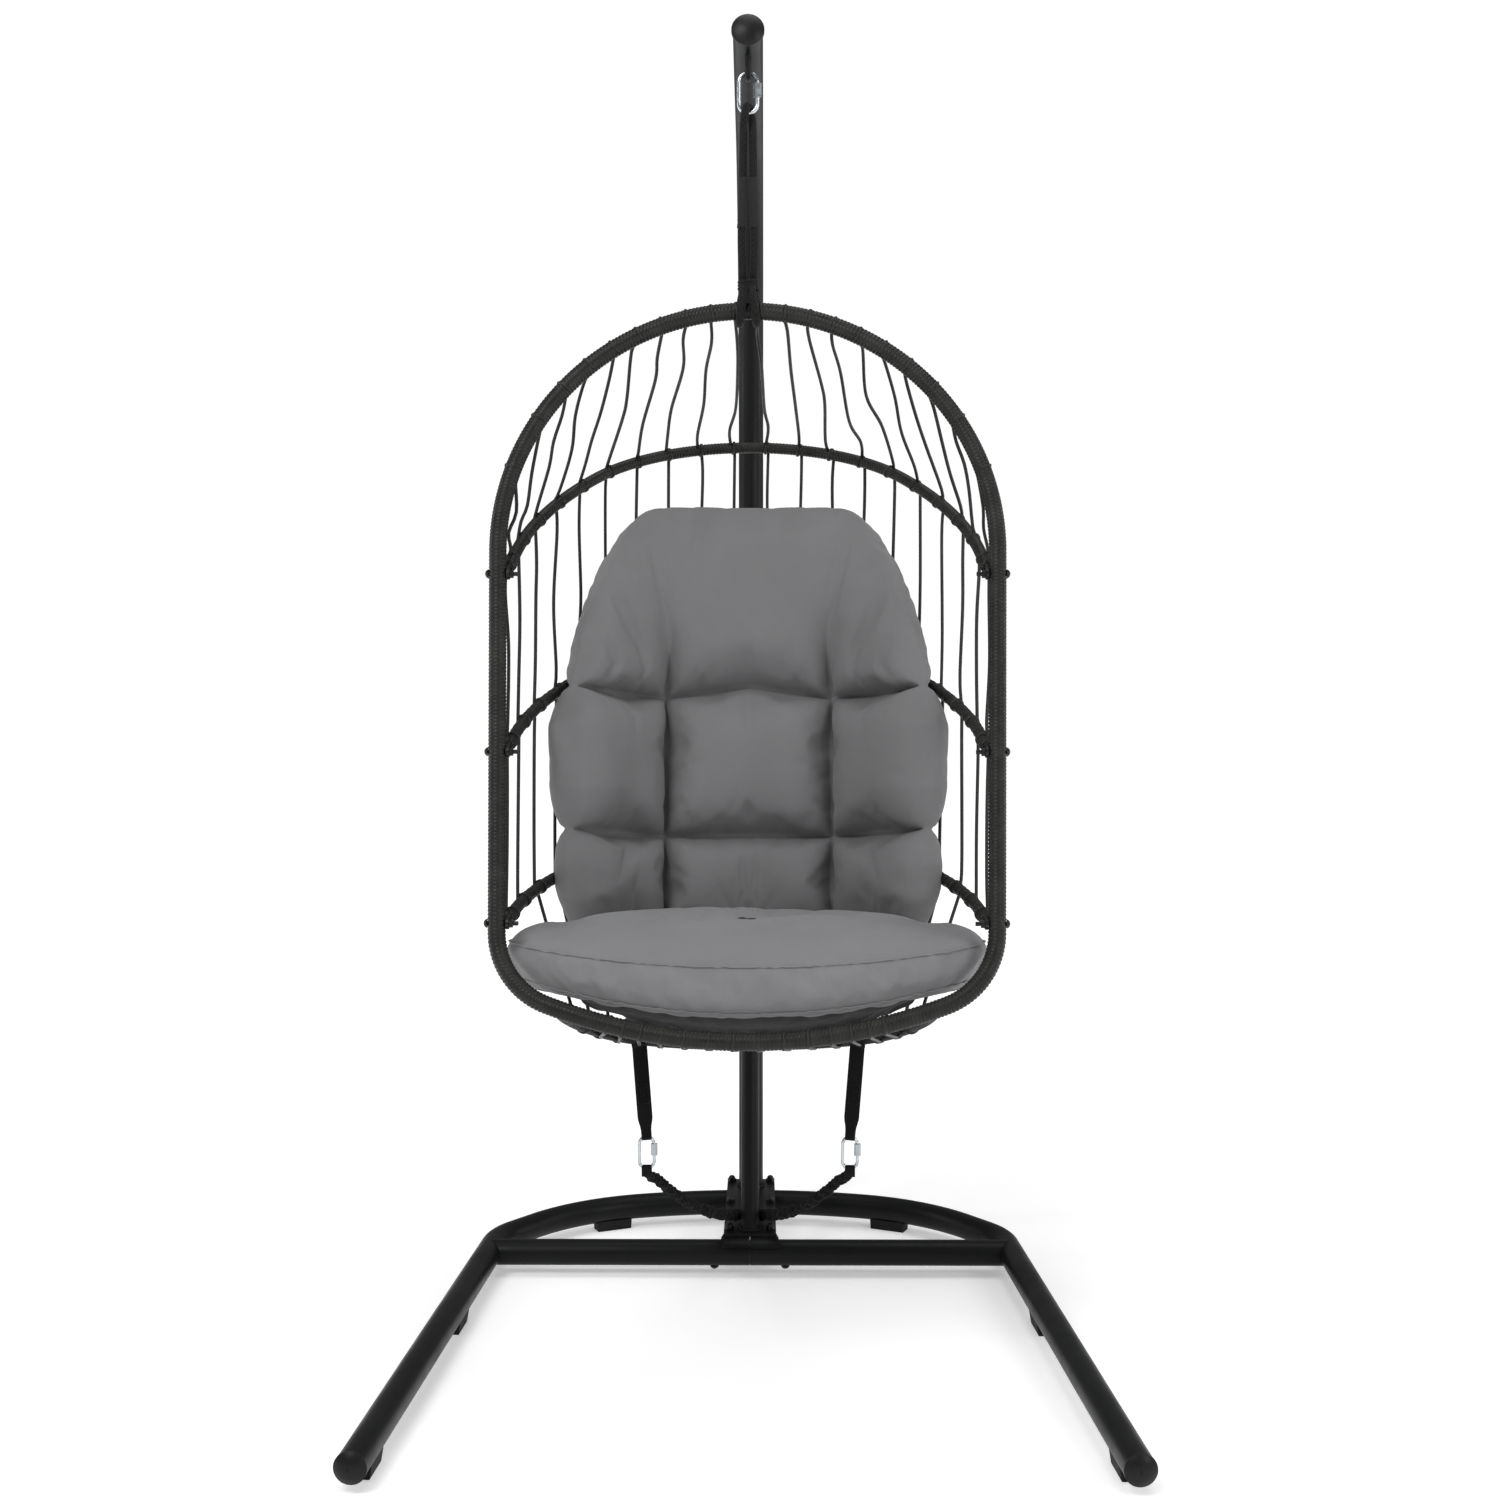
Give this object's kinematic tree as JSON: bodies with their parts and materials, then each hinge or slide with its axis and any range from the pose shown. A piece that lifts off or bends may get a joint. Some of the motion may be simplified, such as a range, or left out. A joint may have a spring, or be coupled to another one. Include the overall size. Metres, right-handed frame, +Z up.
{
  "type": "hanging egg chair",
  "caption": "Free standing hanging egg chair: a wicker wrapped basket with a tufted back cushion and seat pad hangs by a rope sling from a curved steel stand.",
  "frame": {"origin": "on the floor, in the middle of the stand's footprint, front to back and side to side", "axes": "+Z up, +Y to the back of the chair, +X to the right as seen from the front"},
  "size_m": [1.0284, 1.1899, 1.9165],
  "materials": {
    "stand_paint": "satin black powder coat",
    "bare_steel": "bare steel",
    "black_hardware": "black zinc",
    "black_plastic": "moulded",
    "rubber": "matt",
    "zinc_link": "bright zinc plate",
    "zinc_sleeve": "bright zinc plate, knurled",
    "rope": "braided polyester",
    "rope_band": "woven sleeve",
    "hoop_steel": "black",
    "wicker_wrap": "ribbed poly wicker",
    "wicker_strand": "poly wicker cord",
    "back_fabric": "woven polyester, tufted",
    "seat_fabric": "woven polyester",
    "webbing": "polypropylene webbing",
    "elastic": "gathered elastic sleeve"
  },
  "bodies": {
    "stand": {"base_bend_left": "stand_paint", "base_bend_right": "stand_paint", "crossbar_left": "stand_paint", "crossbar_right": "stand_paint", "crossbar_sleeve": "bare_steel", "crossbar_screws": "black_hardware", "gusset_left": "stand_paint", "gusset_right": "stand_paint", "leg_left": "stand_paint", "leg_right": "stand_paint", "leg_spigots": "bare_steel", "leg_caps": "black_plastic", "foot_pads": "rubber", "mount_plate": "stand_paint", "plate_bolts": "black_hardware", "plate_nuts": "black_hardware", "pole_lower": "stand_paint", "pole_upper": "stand_paint", "pole_sleeve": "bare_steel", "pole_screws": "black_hardware", "brace_tube": "stand_paint", "arm_cap": "black_plastic", "hanger_eye": "stand_paint", "strap_elastic": "elastic"},
    "hanger": {"top_link": "zinc_link", "strap_tail_left": "elastic", "strap_tail_right": "elastic"},
    "sling": {"sling_ropes": "rope", "rope_sleeves": "rope_band", "strap_link_left": "zinc_link", "strap_link_right": "zinc_link", "strap_webbing_left": "webbing", "strap_webbing_right": "webbing"},
    "basket": {"loop_core": "hoop_steel", "loop_wrap": "wicker_wrap", "upper_hoop_core": "hoop_steel", "upper_hoop_wrap": "wicker_wrap", "middle_hoop_core": "hoop_steel", "middle_hoop_wrap": "wicker_wrap", "lower_hoop_core": "hoop_steel", "lower_hoop_wrap": "wicker_wrap", "seat_hoop_core": "hoop_steel", "seat_hoop_wrap": "wicker_wrap", "hoop_bolts": "black_hardware", "hoop_nuts": "black_hardware", "strands_top": "wicker_strand", "strands_upper": "wicker_strand", "strands_middle": "wicker_strand", "strands_lower": "wicker_strand", "strands_seat": "wicker_strand", "back_cushion": "back_fabric", "seat_cushion": "seat_fabric"},
    "top_sleeve": {"top_link_sleeve": "zinc_sleeve"},
    "strap_sleeve_l": {"strap_sleeve_left": "zinc_sleeve"},
    "strap_sleeve_r": {"strap_sleeve_right": "zinc_sleeve"}
  },
  "joints": [
    {"name": "side_sway", "type": "hinge", "parent": "stand", "child": "hanger", "pos_m": [0, -0.07698, 1.83746], "axis": [0, 1, 0], "range_deg": [-2.5, 2.5], "deforming": ["strap_elastic"]},
    {"name": "swing", "type": "hinge", "parent": "hanger", "child": "sling", "pos_m": [0, -0.07698, 1.79036], "axis": [1, 0, 0], "range_deg": [-4, 6], "deforming": ["strap_tail_left", "strap_tail_right"]},
    {"name": "twist", "type": "hinge", "parent": "sling", "child": "basket", "pos_m": [0, -0.07698, 1.79036], "axis": [0, 0, 1], "range_deg": [-20, 20], "deforming": ["sling_ropes", "strap_webbing_left", "strap_webbing_right"]},
    {"name": "top_sleeve_travel", "type": "slide", "parent": "hanger", "child": "top_sleeve", "axis": [0, 0, -1], "range_m": [0, 0.0085]},
    {"name": "left_sleeve_travel", "type": "slide", "parent": "sling", "child": "strap_sleeve_l", "axis": [0, 0, -1], "range_m": [0, 0.0085]},
    {"name": "right_sleeve_travel", "type": "slide", "parent": "sling", "child": "strap_sleeve_r", "axis": [0, 0, -1], "range_m": [0, 0.0085]}
  ]
}
